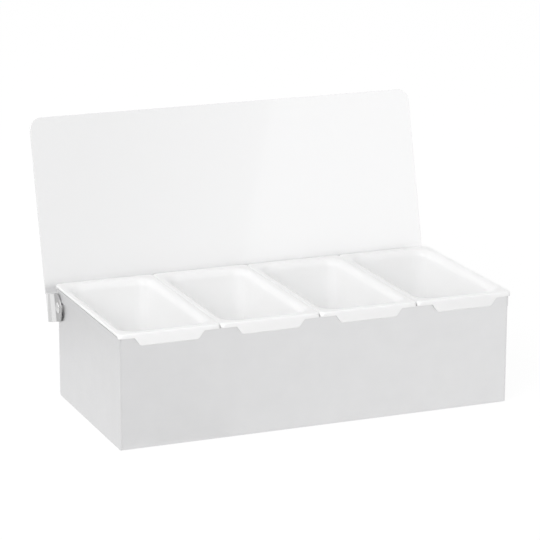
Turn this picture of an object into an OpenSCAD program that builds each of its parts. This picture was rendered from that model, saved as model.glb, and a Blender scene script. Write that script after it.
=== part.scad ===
// Countertop condiment caddy: a folded sheet steel housing, four lift-out plastic
// inserts side by side, and one sheet steel lid that flips back on two side pivots.
// Origin: middle of the housing's underside. X runs along the front, -Y is the front.

/* [Housing] */
// Length of the steel housing along the front
box_w = 305; // [280:1:340]
// Depth of the steel housing, front face to rear face
box_d = 141; // [125:1:170]
// Height of the front and rear walls
box_h = 83.4; // [75:0.1:110]
// Thickness of the housing's sheet steel
sheet_t = 0.8; // [0.6:0.1:1.1]
// Outer radius of the long bends under the front and rear walls
bend_r = 2.4; // [1.6:0.1:5]
// Height of the band folded outward along the top of each side panel
hem_h = 8; // [5:0.5:8.5]
// Length by which the folded band stops short of each end of the side panel
hem_end = 0.5; // [0.3:0.1:3]
// Distance of the folded side tops below the front and rear walls
side_drop = 0.2; // [0.1:0.1:1.6]
// Width of the flanges that weld each side panel inside the wrapper
flange_w = 12; // [8:1:20]
// Distance of the weld flanges below the top of the side panel
flange_drop = 6; // [4:1:15]

/* [Inserts] */
// Reach of the outer rims past the housing's ends
rim_over = 1.9; // [1.6:0.05:3]
// Gap between the rims of neighbouring inserts
insert_gap = 0.3; // [0.2:0.05:1]
// Height of the rim above the steel
rim_t = 3.3; // [2.6:0.1:4.2]
// Flat width of the rim along the left and right sides
rim_flat_x = 2.2; // [1.8:0.1:4]
// Flat width of the rim along the front and rear
rim_flat_y = 4.3; // [3:0.1:6]
// Radius of the soft lip where the rim turns down into the cup
flare_r = 5.8; // [4.6:0.1:7]
// Rounding of the rim's outer top edge
edge_r = 0.8; // [0.4:0.1:1.4]
// Plan radius of the rim's outer corners
rim_corner_r = 3.8; // [3:0.1:9]
// Plan radius of the mouth's corners, at the inner end of the flat rim
mouth_r = 15; // [13:0.5:20]
// Wall thickness of the inserts, which is also the thickness of the rim along the sides
wall_t = 1.8; // [1.2:0.1:2.2]
// Draft of the cup walls, in degrees
draft = 1.5; // [0.5:0.1:3]
// Radius between the cup's walls and its floor, on the inside
floor_r = 5; // [2:0.5:7]
// Gap between the housing's floor and the underside of the inserts
floor_gap = 8; // [3:0.5:25]

/* [Tabs] */
// Depth of the ledges under the rim's front and rear, which rest on the steel
ledge_w = 5; // [4:0.1:5.5]
// Width of the front and rear tabs at the top of the steel
tab_w = 50; // [35:0.1:58]
// Reach of the tabs below the top of the steel
tab_drop = 6.2; // [5:0.1:10]
// Thickness of the tabs
tab_t = 1.9; // [1.6:0.1:2.8]
// Lean of the tabs' ends, in degrees
tab_lean = 34; // [10:1:45]
// Radius of the tabs' lower corners
tab_r = 3; // [1:0.1:4]
// Gap between a tab and the steel wall that it hangs over
tab_clear = 0.3; // [0.2:0.05:0.8]

/* [Lid] */
// Thickness of the lid's sheet steel
lid_t = 1; // [0.8:0.1:1.4]
// Gap between the outer rims and the inside of the lid's ears
ear_clear = 2.1; // [1.2:0.05:4]
// Reach of the closed lid past the front of the housing
lid_front = 7.2; // [4:0.2:14]
// Plan radius of the lid's two free corners
lid_r = 9.5; // [4:0.5:20]
// Outer radius of the lid's bends
lid_bend = 1.6; // [1.5:0.1:3]
// Height of the closed lid above the rims
lid_lift = 1.9; // [1.2:0.1:4]
// Lean of the open lid past the vertical, in degrees
lid_tilt = 14.5; // [8:0.5:20]
// Gap between the open lid's rear flange and the rear wall that stops it
stop_gap = 0.3; // [0.2:0.05:0.6]
// Distance of the rear flange's ends from the lid's sides
flange_end = 7.5; // [4:0.5:20]

/* [Pivots] */
// Distance of the pivot axis in front of the rear face
pivot_in = 4.5; // [4.2:0.1:6.5]
// Distance of the pivot axis below the top of the rear wall
pivot_down = 13.4; // [13:0.1:18]
// Half the width of the ears
ear_half = 10.6; // [8:0.1:12]
// Reach of the ears' ends past the pivot axis
ear_reach = 6.8; // [6:0.1:10]
// Radius of the ears' ends
ear_end_r = 12; // [12:0.1:16]
// Distance of the ear's inward step from the rivet head
step_clear = 1; // [0.5:0.1:2]
// Height of the ear's inward step
step_h = 2.6; // [2:0.1:4]
// Diameter of the pivot rivet's shank
rivet_d = 4.8; // [3:0.1:5]
// Diameter of the rivet's domed head
head_d = 9.2; // [7:0.1:10]
// Height of the rivet's domed head
head_h = 1.2; // [0.8:0.1:2.5]
// Diameter of the rivet's formed tail inside the housing
tail_d = 6.4; // [5.6:0.1:6.8]
// Length of the rivet's formed tail
tail_h = 1.4; // [0.8:0.1:2]
// Diameter of the spacer washer between side panel and ear
spacer_d = 9; // [6:0.1:9]
// Thickness of the spacer washer
spacer_t = 1; // [1:0.1:2]
// Diameter of the backing washer under the rivet's tail
backing_d = 7.2; // [6:0.1:7.2]
// Thickness of the backing washer
backing_t = 0.8; // [0.5:0.1:1.2]
// Radial clearance of the rivet in its holes
run_clear = 0.05; // [0.02:0.01:0.1]
// Sideways play on each face of the ear
side_play = 0.1; // [0.1:0.05:0.4]

/* [Hidden] */
$fn = 64;

// Number of inserts side by side
insert_count = 4;
// Straight pieces in each rounded corner of an insert
corner_steps = 7;
// Straight pieces in each rounded fold of an insert's wall
fold_steps = 4;
// Distance of a ledge's faces inside the rim's outline and top
ledge_inset = 0.1;

// Housing
side_h = box_h - side_drop;
rear_in = box_d / 2 - sheet_t;
end_in = box_w / 2 - sheet_t;

// Inserts: pitch, width, levels and the centre line of the rim's lip
insert_pitch = (box_w + 2 * rim_over + insert_gap) / insert_count;
insert_w = insert_pitch - insert_gap;
rim_top = box_h + rim_t;
lip_z = rim_top - flare_r;
under_r = flare_r - wall_t;
cup_bottom = sheet_t + floor_gap;
foot_z = cup_bottom + wall_t + floor_r;
wall_run = (lip_z - foot_z) * tan(draft);
cup_corner_r = mouth_r - flare_r;
rim_half_y = box_d / 2 + tab_clear + tab_t + ledge_inset;

// Lid, measured from the pivot axis with the lid closed and level
pivot_y = box_d / 2 - pivot_in;
pivot_z = box_h - pivot_down;
lid_half = box_w / 2 + rim_over + ear_clear + lid_t;
lid_under = rim_top + lid_lift - pivot_z;
lid_reach = pivot_y + box_d / 2 + lid_front;
lobe_x = box_w / 2 + spacer_t + side_play;
step_z = head_d / 2 + step_clear;
open_angle = 90 + lid_tilt;
flange_tip = (pivot_in + stop_gap - ear_half * cos(open_angle)) / sin(open_angle);
hole_r = rivet_d / 2 + run_clear;

// Colours
steel = [0.84, 0.84, 0.85];
polished = [0.95, 0.95, 0.96];
plastic = [0.97, 0.97, 0.97];

// Side view to solid: the drawing's x becomes Y, its y becomes Z, and it runs along X
module along_x(from, length) {
    translate([from, 0, 0]) rotate([90, 0, 90]) linear_extrude(length) children();
}

// Front view to solid: the drawing's x stays X, its y becomes Z, and it runs along Y
module along_y(from, length) {
    translate([0, from + length, 0]) rotate([90, 0, 0]) linear_extrude(length) children();
}

// A copy mirrored to the left end when side is -1
module at_side(side) {
    if (side < 0) {
        mirror([1, 0, 0]) children();
    } else {
        children();
    }
}

// Rectangle standing on y = 0 with its two lower corners rounded
module tray_outline(width, height, radius) {
    translate([-width / 2, radius]) square([width, height - radius]);
    translate([-width / 2 + radius, 0]) square([width - 2 * radius, radius]);
    for (side = [-1, 1]) {
        translate([side * (width / 2 - radius), radius]) circle(radius);
    }
}

// Rectangle left of and below the origin, with its upper right corner rounded
module corner_block(width, height, radius) {
    translate([-width, -height]) square([width - radius, height]);
    translate([-width, -height]) square([width, height - radius]);
    translate([-radius, -radius]) circle(radius);
}

// Section of a sheet folded down at the origin: a level leg, a bend and a hanging leg
module fold_section(level, hanging, outer, thickness) {
    difference() {
        corner_block(level, hanging, outer);
        translate([-thickness, -thickness]) corner_block(level, hanging, outer - thickness);
    }
}

// Front wall, floor and rear wall, folded from one sheet
module housing_wrapper() {
    color(steel) along_x(-end_in, 2 * end_in) difference() {
        tray_outline(box_d, box_h, bend_r);
        translate([0, sheet_t]) tray_outline(2 * rear_in, box_h, bend_r - sheet_t);
    }
}

// Side view of the plate that closes one end of the wrapper
module side_plate() {
    along_x(end_in, sheet_t) tray_outline(box_d, side_h - sheet_t, bend_r);
}

// Band folded over to the outside of the plate's top
module side_hem() {
    along_y(-box_d / 2 + hem_end, box_d - 2 * hem_end) {
        translate([box_w / 2, side_h - hem_h]) square([sheet_t, hem_h - sheet_t]);
        translate([box_w / 2, side_h - sheet_t]) intersection() {
            circle(sheet_t);
            translate([-sheet_t, 0]) square([2 * sheet_t, sheet_t]);
        }
    }
}

// Flanges folded inward, welded to the wrapper's front, floor and rear
module side_flanges() {
    flange_x = end_in - flange_w;
    flange_foot = sheet_t + bend_r;
    rear_top = pivot_z - ear_half;
    translate([flange_x, -rear_in, flange_foot]) {
        cube([flange_w, sheet_t, side_h - flange_drop - flange_foot]);
    }
    translate([flange_x, rear_in - sheet_t, flange_foot]) {
        cube([flange_w, sheet_t, rear_top - flange_foot]);
    }
    translate([flange_x, -rear_in + bend_r, sheet_t]) {
        cube([flange_w, 2 * (rear_in - bend_r), sheet_t]);
    }
}

// One end of the housing: side is 1 for the right end and -1 for the left end
module side_panel(side) {
    color(steel) at_side(side) difference() {
        union() {
            side_plate();
            side_hem();
            side_flanges();
        }
        pivot_bore();
    }
}

// Hole for the pivot rivet, through everything at one end
module pivot_bore() {
    translate([end_in - sheet_t, pivot_y, pivot_z]) rotate([0, 90, 0]) {
        cylinder(r = hole_r, h = lid_half - end_in + sheet_t);
    }
}

// One level of an insert's skin: [share of the flat rim, further inset, corner radius, height]
function floor_fold(radius, inset, bottom, corner, turns) = [
    for (turn = turns)
        let (run = radius * (1 - cos(turn)))
        [1, inset + run, corner - run, bottom + radius * (1 - sin(turn))]
];
function lip_fold(radius, turns) = [
    for (turn = turns)
        [1, radius * sin(turn), mouth_r - radius * sin(turn), lip_z + radius * cos(turn)]
];
function edge_fold(turns) = [
    for (turn = turns)
        let (inset = edge_r * (1 - sin(turn)))
        [0, inset, rim_corner_r - inset, rim_top - edge_r * (1 - cos(turn))]
];
// Angles from one value to another in equal parts
function sweep(first, last, parts) = [
    for (i = [0:parts]) first + (last - first) * i / parts
];

// The skin from the middle of the cup's floor, up over the rim and down to the underside
insert_skin = concat(
    floor_fold(floor_r, flare_r + wall_run, cup_bottom + wall_t, cup_corner_r, sweep(90, 0, fold_steps)),
    lip_fold(flare_r, sweep(90 - draft, 0, fold_steps + 2)),
    edge_fold(sweep(0, 90, fold_steps - 1)),
    [[0, 0, rim_corner_r, rim_top - wall_t]],
    lip_fold(under_r, sweep(0, 90 - draft, fold_steps)),
    floor_fold(floor_r + wall_t, under_r + wall_run, cup_bottom, cup_corner_r + wall_t,
        sweep(0, 90, fold_steps))
);

// Points of one level: a rounded rectangle, counter-clockwise from above
function skin_ring(level) =
    let (
        half_x = insert_w / 2 - level[0] * rim_flat_x - level[1] - level[2],
        half_y = rim_half_y - level[0] * rim_flat_y - level[1] - level[2]
    )
    [
        for (corner = [0:3]) for (i = [0:corner_steps])
            let (
                turn = 90 * (corner + i / corner_steps),
                side_x = corner == 0 || corner == 3 ? 1 : -1,
                side_y = corner < 2 ? 1 : -1
            )
            [
                side_x * half_x + level[2] * cos(turn),
                side_y * half_y + level[2] * sin(turn),
                level[3]
            ]
    ];

// The cup with its rim, as one closed skin of rings
module insert_cup() {
    rings = [for (level = insert_skin) skin_ring(level)];
    ring_size = len(rings[0]);
    last = len(rings) - 1;
    points = [for (ring = rings) each ring];
    sides = [
        for (j = [0:last - 1]) for (i = [0:ring_size - 1])
            let (
                here = j * ring_size + i,
                beside = j * ring_size + (i + 1) % ring_size,
                above = here + ring_size,
                above_beside = beside + ring_size
            )
            each [[here, beside, above_beside], [here, above_beside, above]]
    ];
    floor_face = [for (i = [ring_size - 1:-1:0]) i];
    under_face = [for (i = [0:ring_size - 1]) last * ring_size + i];
    polyhedron(points, concat([floor_face], sides, [under_face]));
}

// Side view of the rear ledge and tab: over the steel, then down behind it
module tab_side() {
    inner = box_d / 2 + tab_clear;
    outer = inner + tab_t;
    root = outer - ledge_w;
    top = rim_top - ledge_inset;
    foot = box_h - tab_drop + tab_t / 2;
    difference() {
        translate([outer, top]) corner_block(ledge_w, top - foot, tab_t);
        translate([root - tab_t, foot - tab_t]) square([inner - root + tab_t, box_h - foot + tab_t]);
    }
    translate([inner + tab_t / 2, foot]) circle(tab_t / 2);
}

// Front view of a ledge and its tab, with sloped ends and rounded lower corners
module tab_face() {
    foot = box_h - tab_drop;
    foot_half = tab_w / 2 - tab_drop * tan(tab_lean);
    top_half = tab_w / 2 + rim_t * tan(tab_lean);
    round_x = foot_half - tab_r * (1 - sin(tab_lean)) / cos(tab_lean);
    side_x = round_x + tab_r * cos(tab_lean);
    side_z = foot + tab_r * (1 - sin(tab_lean));
    polygon([
        [-round_x, foot], [round_x, foot], [side_x, side_z], [top_half, rim_top],
        [-top_half, rim_top], [-side_x, side_z]
    ]);
    translate([-insert_w / 2, box_h]) square([insert_w, rim_t]);
    for (side = [-1, 1]) {
        translate([side * round_x, foot + tab_r]) circle(tab_r);
    }
}

// The rear ledge and tab of an insert; the front ones are their mirror image
module rear_tab() {
    intersection() {
        along_x(-insert_w / 2, insert_w) tab_side();
        along_y(0, box_d) tab_face();
        linear_extrude(box_h + rim_t) polygon([
            for (point = skin_ring([0, ledge_inset, rim_corner_r - ledge_inset, 0]))
                [point[0], point[1]]
        ]);
    }
}

// One lift-out insert; number 1 is the leftmost seen from the front
module insert(number) {
    middle = insert_count / 2 + 0.5;
    color(plastic) translate([(number - middle) * insert_pitch, 0, 0]) {
        insert_cup();
        rear_tab();
        mirror([0, 1, 0]) rear_tab();
    }
}

// Flat part of the lid, cut back where the ears and the rear flange are folded
module lid_outline() {
    difference() {
        translate([-lid_half, -lid_reach + lid_r]) square([2 * lid_half, lid_reach - lid_r + ear_half]);
        for (side = [-1, 1]) {
            translate([side * lid_half - lid_bend, -ear_half]) square([2 * lid_bend, 3 * ear_half]);
        }
        translate([-lid_half + flange_end, ear_half - lid_bend]) {
            square([2 * (lid_half - flange_end), 2 * lid_bend]);
        }
    }
    translate([-lid_half + lid_r, -lid_reach]) square([2 * (lid_half - lid_r), lid_r]);
    for (side = [-1, 1]) {
        translate([side * (lid_half - lid_r), -lid_reach + lid_r]) circle(lid_r);
    }
}

// Front view of the right ear: folded down, then stepped in to the pivot
module ear_section() {
    step_top = step_z + step_h;
    lid_top = lid_under + lid_t;
    translate([lid_half, lid_top]) fold_section(2 * lid_bend, lid_top - step_top, lid_bend, lid_t);
    polygon([
        [lobe_x, -ear_half], [lobe_x + lid_t, -ear_half], [lobe_x + lid_t, step_z],
        [lid_half, step_top], [lid_half, step_top + lid_t],
        [lid_half - lid_t, step_top + lid_t], [lid_half - lid_t, step_top], [lobe_x, step_z]
    ]);
}

// Side view of an ear: a strip as wide as the fold, with a rounded end past the pivot
module ear_outline() {
    end_z = ear_end_r - ear_reach;
    intersection() {
        union() {
            translate([0, end_z]) circle(ear_end_r);
            translate([-ear_end_r, end_z]) square([2 * ear_end_r, lid_under + lid_t - end_z]);
        }
        translate([-ear_half, -ear_reach]) square([2 * ear_half, ear_reach + lid_under + lid_t]);
    }
}

// The right ear
module lid_ear() {
    difference() {
        intersection() {
            along_y(-ear_half, 2 * ear_half) ear_section();
            along_x(lobe_x - lid_t, lid_half) ear_outline();
        }
        translate([lobe_x - lid_t, 0, 0]) rotate([0, 90, 0]) cylinder(r = hole_r, h = 3 * lid_t);
    }
}

// Flange along the lid's rear edge, which meets the rear wall when the lid is open
module rear_flange() {
    half = lid_half - flange_end;
    lid_top = lid_under + lid_t;
    along_x(-half, 2 * half) translate([ear_half, lid_top]) {
        fold_section(2 * lid_bend, lid_top - flange_tip, lid_bend, lid_t);
    }
}

// The lid with its ears and rear flange, folded from one sheet, standing open
module lid() {
    color(polished) translate([0, pivot_y, pivot_z]) rotate([-open_angle, 0, 0]) {
        translate([0, 0, lid_under]) linear_extrude(lid_t) lid_outline();
        rear_flange();
        for (side = [-1, 1]) {
            at_side(side) lid_ear();
        }
    }
}

// Pivot rivet: domed head outside the ear, tail formed over the backing washer
module pivot_rivet(side) {
    tail_x = end_in - backing_t - tail_h;
    shank = lobe_x + lid_t + side_play - tail_x;
    dome_r = (pow(head_d / 2, 2) + pow(head_h, 2)) / (2 * head_h);
    color(polished) at_side(side) translate([tail_x, pivot_y, pivot_z]) rotate([0, 90, 0]) {
        rotate_extrude() {
            square([tail_d / 2, tail_h]);
            square([rivet_d / 2, shank + head_h / 2]);
            intersection() {
                translate([0, shank]) square([head_d / 2, head_h]);
                translate([0, shank + head_h - dome_r]) circle(dome_r);
            }
        }
    }
}

// Flat ring on the pivot axis, its inner face at the given distance from the middle
module pivot_ring(side, from, diameter, thickness) {
    color(polished) at_side(side) translate([from, pivot_y, pivot_z]) rotate([0, 90, 0]) {
        difference() {
            cylinder(d = diameter, h = thickness);
            translate([0, 0, -thickness]) cylinder(r = hole_r, h = 3 * thickness);
        }
    }
}

module spacer_washer(side) {
    pivot_ring(side, box_w / 2, spacer_d, spacer_t);
}

module backing_washer(side) {
    pivot_ring(side, end_in - backing_t, backing_d, backing_t);
}

housing_wrapper();
side_panel(-1);  // side_panel_left
side_panel(1);  // side_panel_right
insert(1);  // insert_1
insert(2);  // insert_2
insert(3);  // insert_3
insert(4);  // insert_4
lid();
pivot_rivet(-1);  // pivot_rivet_left
pivot_rivet(1);  // pivot_rivet_right
spacer_washer(-1);  // spacer_washer_left
spacer_washer(1);  // spacer_washer_right
backing_washer(-1);  // backing_washer_left
backing_washer(1);  // backing_washer_right
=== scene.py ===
"""Looks of a countertop condiment caddy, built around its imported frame.

A satin steel housing holds four lift-out white plastic inserts side by side. One
polished steel lid stands open behind them on two side pivots. Lengths are in metres
in the frame's own axes: X runs along the front, -Y is the front and Z is up.
"""

import math

import bpy
import numpy as np
from bpy.props import FloatProperty, FloatVectorProperty, IntProperty, PointerProperty
from mathutils import Matrix, Vector


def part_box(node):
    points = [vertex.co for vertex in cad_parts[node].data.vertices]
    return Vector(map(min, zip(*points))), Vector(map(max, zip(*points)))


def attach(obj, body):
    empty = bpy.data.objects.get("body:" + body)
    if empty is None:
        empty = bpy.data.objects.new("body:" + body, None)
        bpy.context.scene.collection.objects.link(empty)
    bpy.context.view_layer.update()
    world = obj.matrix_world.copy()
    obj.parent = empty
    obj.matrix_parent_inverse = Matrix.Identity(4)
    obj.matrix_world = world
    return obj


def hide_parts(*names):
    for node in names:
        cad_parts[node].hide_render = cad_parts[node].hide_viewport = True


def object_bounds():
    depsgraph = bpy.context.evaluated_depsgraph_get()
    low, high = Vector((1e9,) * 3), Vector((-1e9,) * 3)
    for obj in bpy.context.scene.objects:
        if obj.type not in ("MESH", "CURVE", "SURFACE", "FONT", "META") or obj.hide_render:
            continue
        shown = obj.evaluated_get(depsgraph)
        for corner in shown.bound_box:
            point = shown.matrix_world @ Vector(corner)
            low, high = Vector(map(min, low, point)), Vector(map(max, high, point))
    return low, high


bl_info = {
    "name": "Condiment caddy",
    "version": (1, 0, 0),
    "blender": (4, 5, 0),
    "location": "View3D > Sidebar > Caddy",
    "description": "Builds the visible surfaces of a condiment caddy around its frame",
    "category": "Object",
}

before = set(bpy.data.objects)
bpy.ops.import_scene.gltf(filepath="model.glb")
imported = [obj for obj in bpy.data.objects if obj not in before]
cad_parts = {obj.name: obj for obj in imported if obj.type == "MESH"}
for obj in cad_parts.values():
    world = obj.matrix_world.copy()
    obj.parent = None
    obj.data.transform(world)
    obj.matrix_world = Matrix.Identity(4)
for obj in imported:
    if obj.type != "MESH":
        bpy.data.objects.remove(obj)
CAD_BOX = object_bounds()
INSERTS = ("insert_1", "insert_2", "insert_3", "insert_4")
STEEL_NODES = ("housing_wrapper", "side_panel_left", "side_panel_right")
FITTINGS = (
    "pivot_rivet_left", "pivot_rivet_right",
    "spacer_washer_left", "spacer_washer_right",
    "backing_washer_left", "backing_washer_right",
)
STEEL_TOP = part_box("housing_wrapper")[1].z
MM = 0.001
WHITE = (1.0, 1.0, 1.0, 1.0)

# Gap between the housing's underside and the floor
FLOOR_GAP = 0.2 * MM
# Where the floor's reflected level rises from the left's to the full one, along X
FLOOR_LEFT = (-150 * MM, 200 * MM)
# Where it falls from the full one to that behind the caddy, along Y
FLOOR_BEHIND = (150 * MM, 360 * MM)

# Two points of the grey card's leaning edge, and the level direction away from it
CARD_LOW = np.array([1.098, -2.697, 0.735])
CARD_HIGH = np.array([1.179, -2.601, 1.015])
CARD_AWAY = np.array([-0.927, -0.374, 0.0])
# Ends of that edge, counted from its low point in lengths between the two points
CARD_ENDS = (-6, 9)
# Distances from the edge where the card's level stops changing and where the card ends
CARD_WIDTHS = (0.36, 4.0)

# Point above the housing's underside that the lamp is turned to
LAMP_AIM = Vector((0, 0, 50 * MM))
# Width of the camera's sensor in millimetres, and how far the camera sees
SENSOR_WIDTH = 36.0
CLIP_END = 100.0

# Indices of refraction, of which the steel's acts only in the lid's film
STEEL_IOR = 2.5
PLASTIC_IOR = 1.49
# Radius that the edges of sheet steel seem to have
SHEET_EDGE = 0.5 * MM
# Where the lid's sheet gives way to an ear, and the ear's stepped-in part to its outer
# part, as distances outward from the spacer's outer face; the ears are painted darker as
# shade there, and their stepped-in part darker still
EAR_START = (-0.6 * MM, -0.4 * MM)
EAR_STEP = (1.1 * MM, 1.6 * MM)
# Where an ear and its painted shade give way to the lid's sheet, as distances behind the
# pivot's axis
EAR_REAR = (14.5 * MM, 15.5 * MM)

# Shares of an insert's half width between which the end of a tab lies
TAB_ENDS = (0.54, 0.92)
# In a rim's corner, the sine of the turn from the side at which the ledge begins, and
# the rise of that sine over which the ledge comes to its full depth
LEDGE_START = 0.22
LEDGE_SPAN = 0.2
# Number of rings up a cup's wall between its folds
WALL_RINGS = 4
# Where the rings down the rim's face lie, as shares of its height
FACE_RINGS = (0.05, 0.35, 0.65, 0.95)
# Number of columns along each side of an insert
SIDE_COLUMNS = 12


class CaddyCamera(bpy.types.PropertyGroup):
    """Where the photograph was taken from, with the origin on the housing's underside."""

    azimuth: FloatProperty(name="Azimuth", default=math.radians(22.289), unit="ROTATION",
                           description="Turn of the view to the right of straight ahead")
    elevation: FloatProperty(name="Elevation", default=math.radians(15.203), unit="ROTATION",
                             description="Angle of the view below the horizon")
    roll: FloatProperty(name="Roll", default=math.radians(0.164), unit="ROTATION",
                        description="Turn of the picture about the view")
    distance: FloatProperty(name="Distance", default=1.981, unit="LENGTH",
                            description="Distance along the view from the camera to the origin")
    right: FloatProperty(name="Right", default=8.844 * MM, unit="LENGTH", precision=5,
                         description="How far right of the view's centre the origin lies")
    up: FloatProperty(name="Up", default=-96.938 * MM, unit="LENGTH", precision=5,
                      description="How far above the view's centre the origin lies")
    lens: FloatProperty(name="Lens", default=174.8, unit="CAMERA",
                        description="Focal length on a sensor 36 mm wide")


class CaddyStudio(bpy.types.PropertyGroup):
    """Light and background."""

    sky: FloatProperty(name="Sky", default=0.74, min=0.0,
                       description="Level of the even light from all sides")
    softbox: FloatProperty(name="Softbox", default=20.0, min=0.0, unit="POWER",
                           description="Power of the large lamp above the front left")
    lamp_place: FloatVectorProperty(name="Lamp place", size=3, subtype="TRANSLATION",
                                    default=(-1.6, -1.2, 1.35),
                                    description="Place of the large lamp's middle")
    lamp_width: FloatProperty(name="Lamp width", default=1.6, unit="LENGTH",
                              description="Width of the large lamp")
    lamp_height: FloatProperty(name="Lamp height", default=1.2, unit="LENGTH",
                               description="Height of the large lamp")
    floor_size: FloatProperty(name="Floor size", default=16.0, unit="LENGTH",
                              description="Width of the square floor")
    floor: FloatVectorProperty(name="Floor", size=3, subtype="COLOR", default=(0.93, 0.93, 0.93),
                               description="Colour of the floor where light falls on it")
    glow: FloatProperty(name="Floor glow", default=1.05, min=0.0,
                        description="Level of the floor's own light, as the camera sees it")
    shadow: FloatProperty(name="Shadow", default=0.16, min=0.0, max=1.0,
                          description="How much of the object's shadow the floor shows")
    card_left: FloatProperty(name="Card, left", default=0.78, min=0.0,
                             description="Level of the grey card away from its edge")
    card_edge: FloatProperty(name="Card, edge", default=0.92, min=0.0,
                             description="Level of the grey card at its edge")
    left: FloatProperty(name="Left", default=0.95, min=0.0,
                        description="Level of the floor at the left, as steel reflects it")
    behind: FloatProperty(name="Behind", default=0.76, min=0.0,
                          description="Level of the floor behind the caddy, as steel reflects it")
    bounces: IntProperty(name="Bounces", default=10, min=1,
                         description="Bounces of the light, which brighten cups and gaps")


class CaddySteel(bpy.types.PropertyGroup):
    """Finishes of the sheet steel and of the fittings, and the painted shade on the lid's ears."""

    satin: FloatVectorProperty(name="Satin", size=3, subtype="COLOR", default=(0.79, 0.79, 0.795),
                               description="Colour of the housing's satin steel")
    satin_rough: FloatProperty(name="Satin roughness", default=0.34, min=0.0, max=1.0,
                               description="Roughness of the housing's satin steel")
    satin_grain: FloatProperty(name="Satin grain", default=0.3, min=0.0, max=1.0,
                               description="Strength of the grain of the housing's satin steel")
    satin_clouds: FloatProperty(name="Satin clouds", default=0.03, min=0.0, max=1.0,
                                description="Strength of the satin steel's cloudiness")
    polish: FloatVectorProperty(name="Polish", size=3, subtype="COLOR", default=(0.985, 0.985, 0.988),
                                description="Colour of the lid's polished steel")
    # Painted shade: the lid's ears get this darker colour in place of the shade on the same polished
    # sheet
    ear: FloatVectorProperty(name="Ears", size=3, subtype="COLOR", default=(0.72, 0.72, 0.72),
                             description="Colour of the lid's ears")
    # Painted shade: the ears' stepped-in part keeps only this share of the ear colour, as deeper shade
    ear_step_painted_shade: FloatProperty(name="Ear shade", default=0.7, min=0.0, max=1.0,
                             description="Share of the ears' colour left on their stepped-in part")
    polish_rough: FloatProperty(name="Polish roughness", default=0.32, min=0.0, max=1.0,
                                description="Roughness of the soft share of the lid's reflection")
    mirror_rough: FloatProperty(name="Mirror roughness", default=0.03, min=0.0, max=1.0,
                                description="Roughness of the sharp share of the lid's reflection")
    mirror: FloatProperty(name="Mirror share", default=0.3, min=0.0, max=1.0,
                          description="Share of the lid's reflection that is sharp")
    film: FloatProperty(name="Film", default=0.45, min=0.0, max=1.0,
                        description="Share of the lid's soft sheen that is its milky film")
    fitting: FloatVectorProperty(name="Fittings", size=3, subtype="COLOR", default=(0.8, 0.8, 0.8),
                                 description="Colour of the rivets and washers")
    fitting_rough: FloatProperty(name="Fitting roughness", default=0.18, min=0.0, max=1.0,
                                 description="Roughness of the rivets and washers")
    fitting_grain: FloatProperty(name="Fitting grain", default=0.1, min=0.0, max=1.0,
                                 description="Strength of the grain of the rivets and washers")
    fitting_clouds: FloatProperty(name="Fitting clouds", default=0.01, min=0.0, max=1.0,
                                  description="Strength of the fittings' cloudiness")


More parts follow.
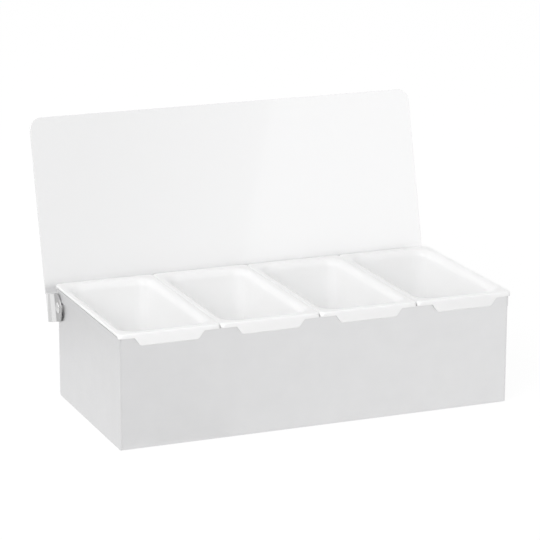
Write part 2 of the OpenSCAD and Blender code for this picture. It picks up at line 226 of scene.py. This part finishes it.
class CaddyInsert(bpy.types.PropertyGroup):
    """Shape and finish of the moulded inserts, beyond what the frame gives."""

    plastic: FloatVectorProperty(name="Plastic", size=3, subtype="COLOR", default=(0.965, 0.965, 0.965),
                                 description="Colour of the milky white plastic")
    gloss: FloatProperty(name="Roughness", default=0.42, min=0.0, max=1.0,
                         description="Roughness of the milky white plastic")
    glow: FloatProperty(name="Light inside", default=0.6, min=0.0, max=1.0,
                        description="Share of the plastic's light that passes through its skin")
    glow_depth: FloatProperty(name="Light's depth", default=2.0 * MM, unit="LENGTH", precision=4,
                              description="How far light spreads inside the plastic")
    widen: FloatProperty(name="Widening", default=0.08 * MM, unit="LENGTH", precision=5,
                         description="How much further than in the frame the rim reaches at each side")
    flat_x: FloatProperty(name="Side rim", default=2.2 * MM, unit="LENGTH", precision=4,
                          description="Flat width of the rim at the sides")
    flat_y: FloatProperty(name="Front rim", default=4.3 * MM, unit="LENGTH", precision=4,
                          description="Flat width of the rim at the front and rear")
    flare: FloatProperty(name="Lip", default=5.8 * MM, unit="LENGTH", precision=4,
                         description="Radius of the lip where the rim turns into the cup")
    edge: FloatProperty(name="Rim edge", default=0.6 * MM, unit="LENGTH", precision=4,
                        description="Rounding of the rim's outer top edge")
    ledge: FloatProperty(name="Ledge", default=4.0 * MM, unit="LENGTH", precision=4,
                         description="Depth of the ledges that rest on the steel")
    corner: FloatProperty(name="Rim corner", default=4.4 * MM, unit="LENGTH", precision=4,
                          description="Plan radius of the rim's outer corners at the top")
    low_corner: FloatProperty(name="Ledge corner", default=2.6 * MM, unit="LENGTH", precision=4,
                              description="Plan radius of the rim's outer corners at the steel")
    corner_fall: FloatProperty(name="Corner fall", default=1.5 * MM, unit="LENGTH", precision=4,
                               description="Height over which one corner radius becomes the other")
    mouth: FloatProperty(name="Mouth corner", default=15.0 * MM, unit="LENGTH", precision=4,
                         description="Plan radius of the mouth's corners")
    wall: FloatProperty(name="Wall", default=1.8 * MM, unit="LENGTH", precision=4,
                        description="Wall thickness")
    draft: FloatProperty(name="Draft", default=math.radians(1.5), unit="ROTATION",
                         description="Draft of the walls")
    foot: FloatProperty(name="Floor radius", default=5.0 * MM, unit="LENGTH", precision=4,
                        description="Radius between walls and floor, on the inside")
    tab_width: FloatProperty(name="Tab width", default=50.0 * MM, unit="LENGTH", precision=4,
                             description="Width of a tab at the top of the steel")
    tab_drop: FloatProperty(name="Tab drop", default=6.2 * MM, unit="LENGTH", precision=4,
                            description="Reach of a tab below the top of the steel")
    tab_thick: FloatProperty(name="Tab thickness", default=1.9 * MM, unit="LENGTH", precision=4,
                             description="Thickness of a tab")
    tab_lean: FloatProperty(name="Tab lean", default=math.radians(34), unit="ROTATION",
                            description="Lean of a tab's ends")
    tab_round: FloatProperty(name="Tab corner", default=3.0 * MM, unit="LENGTH", precision=4,
                             description="Radius of a tab's lower corners")
    steps: IntProperty(name="Steps", default=12, min=4,
                       description="Rings in each rounded fold, and strips round each corner")
    lip_steps: IntProperty(name="Lip steps", default=16, min=4,
                           description="Rings in the lip of the cup")


GROUPS = {
    "caddy_camera": CaddyCamera,
    "caddy_studio": CaddyStudio,
    "caddy_steel": CaddySteel,
    "caddy_insert": CaddyInsert,
}


# Materials

class Graph:
    """Adds nodes and links to a new material or world, with little to write for each."""

    def __init__(self, owner, output="ShaderNodeOutputMaterial"):
        self.owner = owner
        owner.use_nodes = True
        self.tree = owner.node_tree
        self.tree.nodes.clear()
        self.output = self.add(output)

    def add(self, kind, **settings):
        """A node of that kind; settings name its properties."""
        node = self.tree.nodes.new(kind)
        for name, value in settings.items():
            setattr(node, name, value)
        return node

    def link(self, source, target):
        self.tree.links.new(source, target)

    def skin(self, values):
        """A surface shader, with values for its inputs by their names."""
        node = self.add("ShaderNodeBsdfPrincipled")
        for name, value in values.items():
            node.inputs[name].default_value = value
        return node

    def mix(self, share, first, second):
        """Two shaders mixed by a number or a node's value, which is the second's share."""
        node = self.add("ShaderNodeMixShader")
        if isinstance(share, float):
            node.inputs["Fac"].default_value = share
        else:
            self.link(share, node.inputs["Fac"])
        self.link(first, node.inputs[1])
        self.link(second, node.inputs[2])
        return node.outputs["Shader"]

    def surface(self, shader):
        """Shows the shader, and returns the finished material or world."""
        self.link(shader, self.output.inputs["Surface"])
        return self.owner

    def combine(self, operation, *values):
        """One number worked out from others, by a Math node."""
        node = self.add("ShaderNodeMath", operation=operation)
        for value, socket in zip(values, node.inputs):
            self.link(value, socket)
        return node.outputs["Value"]

    def axes(self):
        """The object's own coordinates, by the names of their axes."""
        place = self.add("ShaderNodeTexCoord")
        axes = self.add("ShaderNodeSeparateXYZ")
        self.link(place.outputs["Object"], axes.inputs["Vector"])
        return axes.outputs

    def seen(self, rays):
        """1 where the camera or a reflection looks, and 0 where light falls on things."""
        return self.combine("MAXIMUM", rays.outputs["Is Camera Ray"], rays.outputs["Is Glossy Ray"])

    def noise(self, scale, detail, roughness=0.5, stretch=(1.0, 1.0, 1.0)):
        """Noise on the object's own coordinates, stretched by three factors."""
        place = self.add("ShaderNodeTexCoord")
        mapping = self.add("ShaderNodeMapping")
        mapping.inputs["Scale"].default_value = stretch
        noise = self.add("ShaderNodeTexNoise")
        noise.inputs["Scale"].default_value = scale
        noise.inputs["Detail"].default_value = detail
        noise.inputs["Roughness"].default_value = roughness
        self.link(place.outputs["Object"], mapping.inputs["Vector"])
        self.link(mapping.outputs["Vector"], noise.inputs["Vector"])
        return noise.outputs["Fac"]

    def spread(self, value, low, high):
        """The value, from 0 to 1, spread between low and high."""
        node = self.add("ShaderNodeMapRange")
        node.inputs["To Min"].default_value = low
        node.inputs["To Max"].default_value = high
        self.link(value, node.inputs["Value"])
        return node.outputs["Result"]

    def ramp(self, value, start, end, low, high):
        """Low up to the start, high from the end on, and a straight line between them."""
        result = self.spread(value, low, high)
        result.node.inputs["From Min"].default_value = start
        result.node.inputs["From Max"].default_value = end
        return result

    def tint(self, value, colour, low, high):
        """The colour made darker or lighter by the value, between two factors."""
        node = self.add("ShaderNodeMix", data_type="RGBA")
        node.inputs["A"].default_value = (*[low * c for c in colour], 1.0)
        node.inputs["B"].default_value = (*[high * c for c in colour], 1.0)
        self.link(value, node.inputs["Factor"])
        return node.outputs["Result"]

    def bump(self, value, depth, strength):
        """A bump of that depth in metres from the value."""
        node = self.add("ShaderNodeBump")
        node.inputs["Distance"].default_value = depth
        node.inputs["Strength"].default_value = strength
        self.link(value, node.inputs["Height"])
        return node.outputs["Normal"]

    def soft_edges(self, radius):
        """Normals that turn round the sheet's edges with that radius."""
        node = self.add("ShaderNodeBevel", samples=6)
        node.inputs["Radius"].default_value = radius
        return node.outputs["Normal"]


def brushed_steel(name, colour, rough, grain, mottle):
    """Steel with a fine grain along X and a soft cloudiness.

    The roughness varies by the grain's share and the colour by the mottle's.
    """
    g = Graph(bpy.data.materials.new(name))
    skin = g.skin({"Metallic": 1.0, "IOR": STEEL_IOR})
    lines = g.noise(scale=1.0, detail=4.0, roughness=0.6, stretch=(6.0, 400.0, 400.0))
    clouds = g.noise(scale=55.0, detail=3.0, roughness=0.55)
    g.link(g.tint(clouds, colour, 1.0 - mottle, 1.0 + mottle), skin.inputs["Base Color"])
    g.link(g.spread(lines, rough * (1.0 - grain), rough * (1.0 + grain)), skin.inputs["Roughness"])
    normal = g.bump(lines, depth=0.02 * MM, strength=0.35 * grain)
    g.link(g.soft_edges(SHEET_EDGE), normal.node.inputs["Normal"])
    g.link(normal, skin.inputs["Normal"])
    return g.surface(skin.outputs["BSDF"])


def polished_steel(steel):
    """Sheet steel whose reflection is partly soft, as under a milky film, and partly sharp.

    Its ears are painted darker as shade, and darker still where they are stepped in to
    the pivots. The film is a share of the soft reflection that isn't metal.
    """
    spacer_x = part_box("spacer_washer_right")[1].x
    low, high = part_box("pivot_rivet_right")
    pivot_y = (low.y + high.y) / 2
    g = Graph(bpy.data.materials.new("polished_steel"))
    axes = g.axes()
    side = g.combine("ABSOLUTE", axes["X"])
    # Masks of the ears, painted darker as shade, and of their stepped-in part, given more painted shade
    outside = g.ramp(side, *[spacer_x + x for x in EAR_START], 0.0, 1.0)
    front = g.ramp(axes["Y"], *[pivot_y + y for y in EAR_REAR], 1.0, 0.0)
    painted_step_shade_ramp = g.ramp(side, *[spacer_x + x for x in EAR_STEP], 0.0, 1.0)
    clouds = g.noise(scale=40.0, detail=3.0)
    polish_and_painted_ear_shade = g.add("ShaderNodeMix", data_type="RGBA")
    g.link(g.combine("MULTIPLY", outside, front), polish_and_painted_ear_shade.inputs["Factor"])
    g.link(g.tint(clouds, steel.polish, low=0.998, high=1.002), polish_and_painted_ear_shade.inputs["A"])
    # Painted shade: the ear colour, darker still on the stepped-in part
    g.link(g.tint(painted_step_shade_ramp, steel.ear, low=steel.ear_step_painted_shade, high=1.0), polish_and_painted_ear_shade.inputs["B"])
    edges = g.soft_edges(SHEET_EDGE)
    skins = []
    for rough, metal in ((steel.polish_rough, 1.0 - steel.film), (steel.mirror_rough, 1.0)):
        skin = g.skin({"Metallic": metal, "IOR": STEEL_IOR, "Roughness": rough})
        g.link(edges, skin.inputs["Normal"])
        g.link(polish_and_painted_ear_shade.outputs["Result"], skin.inputs["Base Color"])
        skins.append(skin.outputs["BSDF"])
    return g.surface(g.mix(steel.mirror, *skins))


def milky_plastic(shape):
    """Moulded white plastic: soft gloss, a little light inside, fine unevenness."""
    g = Graph(bpy.data.materials.new("milky_plastic"))
    skin = g.skin({
        "Roughness": shape.gloss,
        "IOR": PLASTIC_IOR,
        "Subsurface Weight": shape.glow,
        "Subsurface Radius": (1.0, 1.0, 1.0),
        "Subsurface Scale": shape.glow_depth,
    })
    clouds = g.noise(scale=30.0, detail=2.0)
    unevenness = g.noise(scale=900.0, detail=2.0)
    g.link(g.tint(clouds, shape.plastic, low=0.992, high=1.008), skin.inputs["Base Color"])
    g.link(g.bump(unevenness, depth=0.02 * MM, strength=0.3), skin.inputs["Normal"])
    return g.surface(skin.outputs["BSDF"])


def white_floor(studio):
    """A floor that the camera sees as white, with a soft shadow.

    Reflections see it too, a little darker at the left and behind the caddy.
    """
    g = Graph(bpy.data.materials.new("studio_floor"))
    matt = g.add("ShaderNodeBsdfDiffuse")
    matt.inputs["Color"].default_value = (*studio.floor, 1.0)
    axes = g.axes()
    across = g.ramp(axes["X"], *FLOOR_LEFT, studio.left, 1.0)
    along = g.ramp(axes["Y"], *FLOOR_BEHIND, 1.0, studio.behind)
    rays = g.add("ShaderNodeLightPath")
    strength = g.add("ShaderNodeMix", data_type="FLOAT")
    strength.inputs["A"].default_value = studio.glow
    g.link(rays.outputs["Is Glossy Ray"], strength.inputs["Factor"])
    g.link(g.combine("MULTIPLY", across, along), strength.inputs["B"])
    glow = g.add("ShaderNodeEmission")
    g.link(strength.outputs["Result"], glow.inputs["Strength"])
    shaded = g.mix(studio.shadow, glow.outputs["Emission"], matt.outputs["BSDF"])
    return g.surface(g.mix(g.seen(rays), matt.outputs["BSDF"], shaded))


def grey_card():
    """A card that shines with the level stored on its corners."""
    g = Graph(bpy.data.materials.new("grey_card"))
    level = g.add("ShaderNodeAttribute", attribute_name="level")
    glow = g.add("ShaderNodeEmission")
    g.link(level.outputs["Fac"], glow.inputs["Strength"])
    return g.surface(glow.outputs["Emission"])


# Surfaces

def mesh_piece(name, points, quads, triangles, material):
    """A smooth mesh object from arrays of points, four-sided and three-sided faces."""
    mesh = bpy.data.meshes.new(name)
    corners = np.concatenate([quads.ravel(), triangles.ravel()]).astype(np.int32)
    sides = np.concatenate([np.full(len(quads), 4), np.full(len(triangles), 3)])
    starts = np.concatenate([[0], np.cumsum(sides)[:-1]]).astype(np.int32)
    mesh.vertices.add(len(points))
    mesh.vertices.foreach_set("co", points.astype(np.float32).ravel())
    mesh.loops.add(len(corners))
    mesh.loops.foreach_set("vertex_index", corners)
    mesh.polygons.add(len(sides))
    mesh.polygons.foreach_set("loop_start", starts)
    mesh.polygons.foreach_set("use_smooth", np.ones(len(sides), bool))
    mesh.update(calc_edges=True)
    mesh.validate()
    mesh.materials.append(material)
    piece = bpy.data.objects.new(name, mesh)
    bpy.context.scene.collection.objects.link(piece)
    return piece


def flat_piece(name, points, quads, material):
    """A mesh object of flat four-sided faces only."""
    return mesh_piece(name, points, np.array(quads), np.zeros((0, 3), int), material)


def closed_skin(rings):
    """Points and faces of a skin of rings, its first and last ring closed by a fan.

    rings has the shape (levels, columns, 3). The columns run counter-clockwise seen
    from the side that the first ring's cap faces.
    """
    levels, columns = rings.shape[:2]
    points = np.concatenate([rings.reshape(-1, 3), rings[[0, -1]].mean(axis=1)])
    grid = np.arange(levels * columns).reshape(levels, columns)
    beside = np.roll(grid, -1, axis=1)
    quads = np.stack([grid[:-1], grid[1:], beside[1:], beside[:-1]], axis=-1).reshape(-1, 4)
    first = np.stack([grid[0], beside[0], np.full(columns, levels * columns)], axis=-1)
    last = np.stack([beside[-1], grid[-1], np.full(columns, levels * columns + 1)], axis=-1)
    return points, quads, np.concatenate([first, last])


def insert_columns(steps):
    """Columns round an insert, counter-clockwise from above, as four arrays.

    A column's plan position on a rounded rectangle with half sides hx, hy and corner
    radius r is (ax (hx - r) + cx r, ay (hy - r) + cy r). The tabs' ends get close columns.
    """
    near, far = TAB_ENDS
    # Each band along the front has a start, an end and a number of columns
    bands = ((-1.0, -far, 3), (-far, -near, 34), (-near, near, 12), (near, far, 34), (far, 1.0, 3))
    close = [np.linspace(start, end, count)[:-1] for start, end, count in bands]
    close = np.concatenate([*close, [1.0]])
    side = np.linspace(-1.0, 1.0, SIDE_COLUMNS)
    turn = np.linspace(0.0, np.pi / 2, steps + 1)[1:-1]
    one = np.ones_like
    parts = [
        (one(side), side, one(side), 0 * side),
        (one(turn), one(turn), np.cos(turn), np.sin(turn)),
        (-close, one(close), 0 * close, one(close)),
        (-one(turn), one(turn), -np.sin(turn), np.cos(turn)),
        (-one(side), -side, -one(side), 0 * side),
        (-one(turn), -one(turn), -np.cos(turn), -np.sin(turn)),
        (close, -one(close), 0 * close, -one(close)),
        (one(turn), -one(turn), np.sin(turn), -np.cos(turn)),
    ]
    return [np.concatenate(column) for column in zip(*parts)]


def tab_reach(x, shape):
    """A tab's reach below the steel's top and its form, at x from the insert's middle.

    The foot is straight, its corners are arcs, and the ends lean in a straight line. The
    form is the reach as a share of the tab's thickness, from 0 to 1.
    """
    x = np.abs(x)
    lean = shape.tab_lean
    foot = shape.tab_width / 2 - shape.tab_drop * np.tan(lean)
    arc_x = foot - shape.tab_round * (1 - np.sin(lean)) / np.cos(lean)
    arc_end = arc_x + shape.tab_round * np.cos(lean)
    arc = np.clip(x - arc_x, 0, shape.tab_round)
    down = shape.tab_drop - shape.tab_round + np.sqrt(shape.tab_round ** 2 - arc ** 2)
    down = np.where(x > arc_end, (shape.tab_width / 2 - x) / np.tan(lean), down)
    down = np.clip(down, 0, None)
    return down, np.clip(down / shape.tab_thick, 0, 1)


def insert_rings(shape, low, high):
    """Rings of one insert, from the cup's floor over the rim to its underside.

    Every fold is an arc: floor to wall, wall to rim, the rim's edges and the tab's foot,
    and the same folds one wall thickness further out on the underside. Along the front
    and rear the rim's face runs down to the steel, and further at the tab. It rises to
    the thin sides in the corners.
    """
    ax, ay, cx, cy = insert_columns(shape.steps)
    hx = (high.x - low.x) / 2 + shape.widen
    hy = high.y
    top = high.z
    lip_z = top - shape.flare
    under_r = shape.flare - shape.wall
    wall_z = low.z + shape.wall + shape.foot
    run = (lip_z - wall_z) * math.tan(shape.draft)
    quarter = math.pi / 2
    turns = np.linspace(0, quarter, shape.steps)
    rings = []

    def inner(inset, corner, z):
        """A ring inside the rim's flat part."""
        x = ax * (hx - shape.flat_x - inset - corner) + cx * corner
        y = ay * (hy - shape.flat_y - inset - corner) + cy * corner
        rings.append(np.stack([x, y, np.full_like(x, z)], axis=-1))

    def outer(inset, z):
        """A ring at the rim's outline, moved inward by the inset.

        The corners are sharper lower down.
        """
        share = np.clip((top - shape.edge - z) / shape.corner_fall, 0, 1)
        corner = shape.corner + share * (shape.low_corner - shape.corner)
        x = ax * (hx - corner) + cx * (corner - inset)
        y = ay * (hy - corner) + cy * (corner - inset)
        rings.append(np.stack([x, y, z + 0 * x], axis=-1))

    def floor_fold(radius, inset, bottom, corner, turns):
        """The arc between the floor and the walls."""
        for turn in turns:
            side = radius * (1 - math.cos(turn))
            inner(inset + side, corner - side, bottom + radius * (1 - math.sin(turn)))

    def lip_fold(radius, turns):
        """The arc between the walls and the rim."""
        for turn in turns:
            side = radius * math.sin(turn)
            inner(side, shape.mouth - side, lip_z + radius * math.cos(turn))

    # Up the inside: the floor's arc, the wall and the lip
    corner = shape.mouth - shape.flare
    floor_fold(shape.foot, shape.flare + run, low.z + shape.wall, corner, turns[::-1])
    for share in np.linspace(0, 1, WALL_RINGS + 2)[1:-1]:
        inner(shape.flare + run * (1 - share), corner, wall_z + (lip_z - wall_z) * share)
    lip_fold(shape.flare, np.linspace(quarter - shape.draft, 0, shape.lip_steps))

    # Down the outline: the top edge, the rim's face, the tab's foot and back, the ledge
    ledge = np.clip((np.abs(cy) - LEDGE_START) / LEDGE_SPAN, 0, 1)
    ledge = ledge * ledge * (3 - 2 * ledge)
    down, tab = tab_reach(ax * (hx - shape.corner), shape)
    straight = np.abs(cy) == 1
    down = down * straight
    tab = tab * straight
    under_z = top - shape.wall
    level = under_z - ledge * (under_z - STEEL_TOP)
    foot = level - down
    tip = shape.edge / 2 + tab * (shape.tab_thick - shape.edge) / 2
    for turn in turns:
        outer(shape.edge * (1 - math.sin(turn)), top - shape.edge * (1 - math.cos(turn)))
    for share in FACE_RINGS:
        outer(0, (top - shape.edge) * (1 - share) + (foot + tip) * share)
    for turn in turns:
        outer(tip * (1 - math.cos(turn)), foot + tip * (1 - math.sin(turn)))
    back = np.minimum(down, tip)
    for turn in turns[1:]:
        outer(tip * (1 + math.sin(turn)), foot + back * (1 - math.cos(turn)))
    outer(2 * tip, level)
    root = 2 * tip + ledge * (shape.ledge - 2 * tip)
    outer(root, level)
    outer(root, under_z)

    # Down the underside: the lip and the floor's arc
    lip_fold(under_r, np.linspace(0, quarter - shape.draft, shape.steps))
    floor_fold(shape.foot + shape.wall, under_r + run, low.z, corner + shape.wall, turns)
    return np.stack(rings) + np.array([(low.x + high.x) / 2, 0, 0])


# Operators

class CaddyOperator:
    """Shared by the operators below."""

    bl_options = {"REGISTER", "UNDO"}

    @staticmethod
    def dress(names, material):
        """Gives CAD nodes a material in all their slots."""
        for name in names:
            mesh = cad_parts[name].data
            if not mesh.materials:
                mesh.materials.append(material)
            for slot in range(len(mesh.materials)):
                mesh.materials[slot] = material


class CADDY_OT_stage(CaddyOperator, bpy.types.Operator):
    """Add the white floor, the soft light and the camera"""

    bl_idname = "caddy.stage"
    bl_label = "Stage"

    def execute(self, context):
        studio = context.scene.caddy_studio
        corners = np.array([[-1, -1, 0], [1, -1, 0], [1, 1, 0], [-1, 1, 0]]) * studio.floor_size / 2
        points = corners + [0, 0, CAD_BOX[0][2] - FLOOR_GAP]
        floor = flat_piece("studio_floor", points, [[0, 1, 2, 3]], white_floor(studio))
        self.card(studio)
        self.sky(context.scene, studio)
        self.lamp(studio)
        self.camera(context.scene)
        context.scene.view_settings.view_transform = "Standard"
        context.scene.cycles.diffuse_bounces = studio.bounces
        context.scene.cycles.glossy_bounces = studio.bounces
        return {"FINISHED"}

    @staticmethod
    def sky(scene, studio):
        """Even light, which the camera and reflections see as plain white."""
        g = Graph(bpy.data.worlds.new("studio"), "ShaderNodeOutputWorld")
        shades = []
        for level in (studio.sky, 1.0):
            shade = g.add("ShaderNodeBackground")
            shade.inputs["Color"].default_value = WHITE
            shade.inputs["Strength"].default_value = level
            shades.append(shade.outputs["Background"])
        seen = g.seen(g.add("ShaderNodeLightPath"))
        scene.world = g.surface(g.mix(seen, *shades))

    @staticmethod
    def card(studio):
        """A grey card far in front, which only reflections see; its right edge leans.

        Its level goes in a straight line from that at the edge to that at the first of
        its two widths, and stays there up to the second.
        """
        edge = np.array([CARD_LOW + share * (CARD_HIGH - CARD_LOW) for share in CARD_ENDS])
        points = np.concatenate([edge + width * CARD_AWAY for width in (0.0, *CARD_WIDTHS)])
        card = flat_piece("grey_card", points, [[0, 1, 3, 2], [2, 3, 5, 4]], grey_card())
        levels = card.data.attributes.new("level", "FLOAT", "POINT")
        levels.data.foreach_set("value", [studio.card_edge] * 2 + [studio.card_left] * 4)
        for ray in ("camera", "diffuse", "transmission", "volume_scatter", "shadow"):
            setattr(card, "visible_" + ray, False)

    @staticmethod
    def lamp(studio):
        """One large lamp above the front left, turned to the caddy."""
        data = bpy.data.lights.new("softbox", "AREA")
        data.shape = "RECTANGLE"
        data.size = studio.lamp_width
        data.size_y = studio.lamp_height
        data.energy = studio.softbox
        lamp = bpy.data.objects.new("softbox", data)
        lamp.location = studio.lamp_place
        lamp.rotation_euler = (LAMP_AIM - lamp.location).to_track_quat("-Z", "Y").to_euler()
        bpy.context.scene.collection.objects.link(lamp)

    @staticmethod
    def camera(scene):
        """A camera whose right and up axes are those of the photograph."""
        view = scene.caddy_camera
        sin_a, cos_a = math.sin(view.azimuth), math.cos(view.azimuth)
        sin_e, cos_e = math.sin(view.elevation), math.cos(view.elevation)
        ahead = Vector((sin_a * cos_e, cos_a * cos_e, -sin_e))
        level = Vector((cos_a, -sin_a, 0.0))
        upright = level.cross(ahead)
        right = math.cos(view.roll) * level + math.sin(view.roll) * upright
        up = math.cos(view.roll) * upright - math.sin(view.roll) * level
        place = -view.right * right - view.up * up - view.distance * ahead
        data = bpy.data.cameras.new("camera")
        data.sensor_width = SENSOR_WIDTH
        data.lens = view.lens
        data.clip_end = CLIP_END
        camera = bpy.data.objects.new("camera", data)
        axes = Matrix((right, up, -ahead)).transposed().to_4x4()
        camera.matrix_world = Matrix.Translation(place) @ axes
        scene.collection.objects.link(camera)
        scene.camera = camera


class CADDY_OT_housing(CaddyOperator, bpy.types.Operator):
    """Give the folded steel housing its satin finish"""

    bl_idname = "caddy.housing"
    bl_label = "Housing"

    def execute(self, context):
        steel = context.scene.caddy_steel
        satin = brushed_steel("satin_steel", steel.satin, steel.satin_rough,
                              steel.satin_grain, steel.satin_clouds)
        self.dress(STEEL_NODES, satin)
        return {"FINISHED"}


class CADDY_OT_inserts(CaddyOperator, bpy.types.Operator):
    """Build the four moulded inserts with their soft lips and tabs"""

    bl_idname = "caddy.inserts"
    bl_label = "Inserts"

    def execute(self, context):
        shape = context.scene.caddy_insert
        plastic = milky_plastic(shape)
        for name in INSERTS:
            low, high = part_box(name)
            piece = mesh_piece(name + "_moulded", *closed_skin(insert_rings(shape, low, high)), plastic)
            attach(piece, name + "_body")
            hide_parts(name)
        return {"FINISHED"}


class CADDY_OT_lid(CaddyOperator, bpy.types.Operator):
    """Give the folded lid its polish, with painted shade on its ears"""

    bl_idname = "caddy.lid"
    bl_label = "Lid"

    def execute(self, context):
        self.dress(("lid",), polished_steel(context.scene.caddy_steel))
        return {"FINISHED"}


class CADDY_OT_pivots(CaddyOperator, bpy.types.Operator):
    """Give the rivets and washers of the two pivots their finish"""

    bl_idname = "caddy.pivots"
    bl_label = "Pivots"

    def execute(self, context):
        steel = context.scene.caddy_steel
        fitting = brushed_steel("fitting_steel", steel.fitting, steel.fitting_rough,
                                steel.fitting_grain, steel.fitting_clouds)
        self.dress(FITTINGS, fitting)
        return {"FINISHED"}


OPERATORS = (CADDY_OT_stage, CADDY_OT_housing, CADDY_OT_inserts, CADDY_OT_lid, CADDY_OT_pivots)


class VIEW3D_PT_caddy(bpy.types.Panel):
    """Lists the caddy's operators and sizes"""

    bl_label = "Condiment caddy"
    bl_space_type = "VIEW_3D"
    bl_region_type = "UI"
    bl_category = "Caddy"

    def draw(self, context):
        for operator in OPERATORS:
            self.layout.operator(operator.bl_idname)
        for group in GROUPS:
            values = getattr(context.scene, group)
            box = self.layout.box()
            for name in values.__annotations__:
                box.prop(values, name)


CLASSES = (*GROUPS.values(), *OPERATORS, VIEW3D_PT_caddy)


def register():
    for item in CLASSES:
        bpy.utils.register_class(item)
    for name, group in GROUPS.items():
        setattr(bpy.types.Scene, name, PointerProperty(type=group))


def unregister():
    for name in GROUPS:
        delattr(bpy.types.Scene, name)
    for item in reversed(CLASSES):
        bpy.utils.unregister_class(item)


def main():
    register()
    bpy.ops.caddy.stage()
    bpy.ops.caddy.housing()
    bpy.ops.caddy.inserts()
    bpy.ops.caddy.lid()
    bpy.ops.caddy.pivots()


if __name__ == "__main__":
    main()
